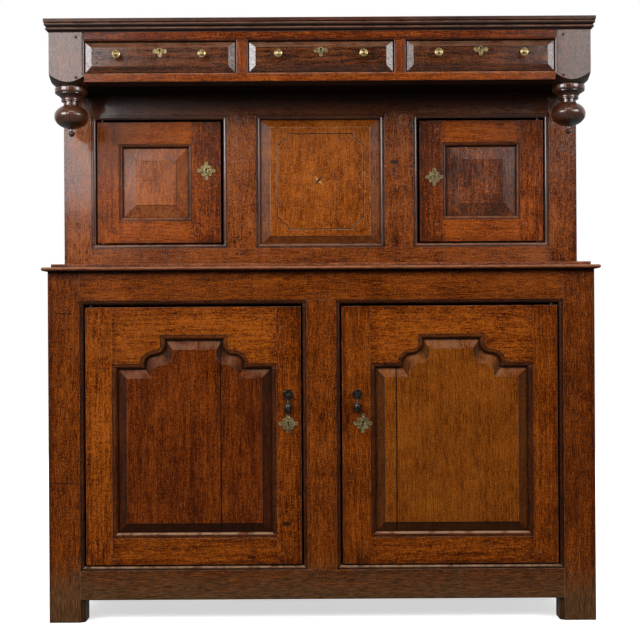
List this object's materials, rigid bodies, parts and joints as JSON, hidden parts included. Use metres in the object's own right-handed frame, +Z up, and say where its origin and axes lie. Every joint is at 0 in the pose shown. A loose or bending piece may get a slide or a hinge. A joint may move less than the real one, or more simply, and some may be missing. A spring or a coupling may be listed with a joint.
{
  "type": "court cupboard",
  "caption": "Joined oak court cupboard: panelled doors below, set-back panelled doors above, and an overhanging frieze with drawers and turned corner pendants.",
  "frame": {"origin": "on the floor, under the middle of the overall width and depth", "axes": "+Z up, the front faces -Y, +X to the right as seen from the front"},
  "size_m": [1.49, 0.56, 1.617],
  "materials": {
    "oak_frame": "waxed",
    "oak_panel": "waxed",
    "oak_centre_panel": "waxed",
    "oak_drawer_front": "waxed",
    "oak_dark": "polished",
    "oak_dry": "dry",
    "brass": "worn",
    "iron": "dark"
  },
  "bodies": {
    "carcass": {"back_boards": "oak_dry", "back_posts": "oak_dry", "base_floor_and_shelf_boards": "oak_dry", "base_front_posts": "oak_frame", "base_front_rails": "oak_frame", "base_muntin": "oak_frame", "base_top": "oak_frame", "carcass_pegs": "oak_frame", "corner_posts": "oak_dark", "cornice": "oak_dark", "frieze_rails_and_dividers": "oak_frame", "frieze_side_boards": "oak_frame", "hinge_pins": "iron", "runners_and_bearers": "oak_dry", "side_and_back_rails": "oak_frame", "side_panels": "oak_frame", "top_and_soffit_boards": "oak_dry", "upper_centre_panel": "oak_centre_panel", "upper_front_rails": "oak_frame", "upper_front_stiles": "oak_frame", "upper_muntins": "oak_frame"},
    "lower_door_left": {"lower_door_left_frame": "oak_frame", "lower_door_left_panel": "oak_panel", "lower_door_left_escutcheon": "brass", "lower_door_left_lock": "iron", "lower_door_left_handle_rose": "iron"},
    "lower_door_left_bolt": {"lower_door_left_bolt": "iron"},
    "lower_door_left_handle": {"lower_door_left_handle_drop": "iron"},
    "upper_door_left": {"upper_door_left_frame": "oak_frame", "upper_door_left_panel": "oak_panel", "upper_door_left_escutcheon": "brass", "upper_door_left_lock": "iron"},
    "upper_door_left_bolt": {"upper_door_left_bolt": "iron"},
    "lower_door_right": {"lower_door_right_frame": "oak_frame", "lower_door_right_panel": "oak_panel", "lower_door_right_escutcheon": "brass", "lower_door_right_lock": "iron", "lower_door_right_handle_rose": "iron"},
    "lower_door_right_bolt": {"lower_door_right_bolt": "iron"},
    "lower_door_right_handle": {"lower_door_right_handle_drop": "iron"},
    "upper_door_right": {"upper_door_right_frame": "oak_frame", "upper_door_right_panel": "oak_panel", "upper_door_right_escutcheon": "brass", "upper_door_right_lock": "iron"},
    "upper_door_right_bolt": {"upper_door_right_bolt": "iron"},
    "drawer_left": {"drawer_left_front": "oak_drawer_front", "drawer_left_box": "oak_dry", "drawer_left_brasses": "brass", "drawer_left_lock": "iron"},
    "drawer_left_bolt": {"drawer_left_bolt": "iron"},
    "drawer_middle": {"drawer_middle_front": "oak_drawer_front", "drawer_middle_box": "oak_dry", "drawer_middle_brasses": "brass", "drawer_middle_lock": "iron"},
    "drawer_middle_bolt": {"drawer_middle_bolt": "iron"},
    "drawer_right": {"drawer_right_front": "oak_drawer_front", "drawer_right_box": "oak_dry", "drawer_right_brasses": "brass", "drawer_right_lock": "iron"},
    "drawer_right_bolt": {"drawer_right_bolt": "iron"}
  },
  "joints": [
    {"name": "lower_door_left_hinge", "type": "hinge", "parent": "carcass", "child": "lower_door_left", "pos_m": [-0.619, -0.244, 0.1535], "axis": [0, 0, -1], "range_deg": [0, 105]},
    {"name": "upper_door_left_hinge", "type": "hinge", "parent": "carcass", "child": "upper_door_left", "pos_m": [-0.617, -0.069, 1.0295], "axis": [0, 0, -1], "range_deg": [0, 90]},
    {"name": "lower_door_left_handle_pivot", "type": "hinge", "parent": "lower_door_left", "child": "lower_door_left_handle", "pos_m": [-0.09, -0.2645, 0.608], "axis": [-1, 0, 0], "range_deg": [0, 80]},
    {"name": "lower_door_left_bolt_slide", "type": "slide", "parent": "lower_door_left", "child": "lower_door_left_bolt", "axis": [1, 0, 0], "range_m": [0, 0.01]},
    {"name": "upper_door_left_bolt_slide", "type": "slide", "parent": "upper_door_left", "child": "upper_door_left_bolt", "axis": [1, 0, 0], "range_m": [0, 0.01]},
    {"name": "lower_door_right_hinge", "type": "hinge", "parent": "carcass", "child": "lower_door_right", "pos_m": [0.619, -0.244, 0.1535], "axis": [0, 0, 1], "range_deg": [0, 105]},
    {"name": "upper_door_right_hinge", "type": "hinge", "parent": "carcass", "child": "upper_door_right", "pos_m": [0.617, -0.069, 1.0295], "axis": [0, 0, 1], "range_deg": [0, 90]},
    {"name": "lower_door_right_handle_pivot", "type": "hinge", "parent": "lower_door_right", "child": "lower_door_right_handle", "pos_m": [0.096, -0.2645, 0.608], "axis": [-1, 0, 0], "range_deg": [0, 80]},
    {"name": "lower_door_right_bolt_slide", "type": "slide", "parent": "lower_door_right", "child": "lower_door_right_bolt", "axis": [-1, 0, 0], "range_m": [0, 0.01]},
    {"name": "upper_door_right_bolt_slide", "type": "slide", "parent": "upper_door_right", "child": "upper_door_right_bolt", "axis": [-1, 0, 0], "range_m": [0, 0.01]},
    {"name": "drawer_left_slide", "type": "slide", "parent": "carcass", "child": "drawer_left", "axis": [0, -1, 0], "range_m": [0, 0.33]},
    {"name": "drawer_left_bolt_slide", "type": "slide", "parent": "drawer_left", "child": "drawer_left_bolt", "axis": [0, 0, 1], "range_m": [0, 0.01]},
    {"name": "drawer_middle_slide", "type": "slide", "parent": "carcass", "child": "drawer_middle", "axis": [0, -1, 0], "range_m": [0, 0.33]},
    {"name": "drawer_middle_bolt_slide", "type": "slide", "parent": "drawer_middle", "child": "drawer_middle_bolt", "axis": [0, 0, 1], "range_m": [0, 0.01]},
    {"name": "drawer_right_slide", "type": "slide", "parent": "carcass", "child": "drawer_right", "axis": [0, -1, 0], "range_m": [0, 0.33]},
    {"name": "drawer_right_bolt_slide", "type": "slide", "parent": "drawer_right", "child": "drawer_right_bolt", "axis": [0, 0, 1], "range_m": [0, 0.01]}
  ]
}
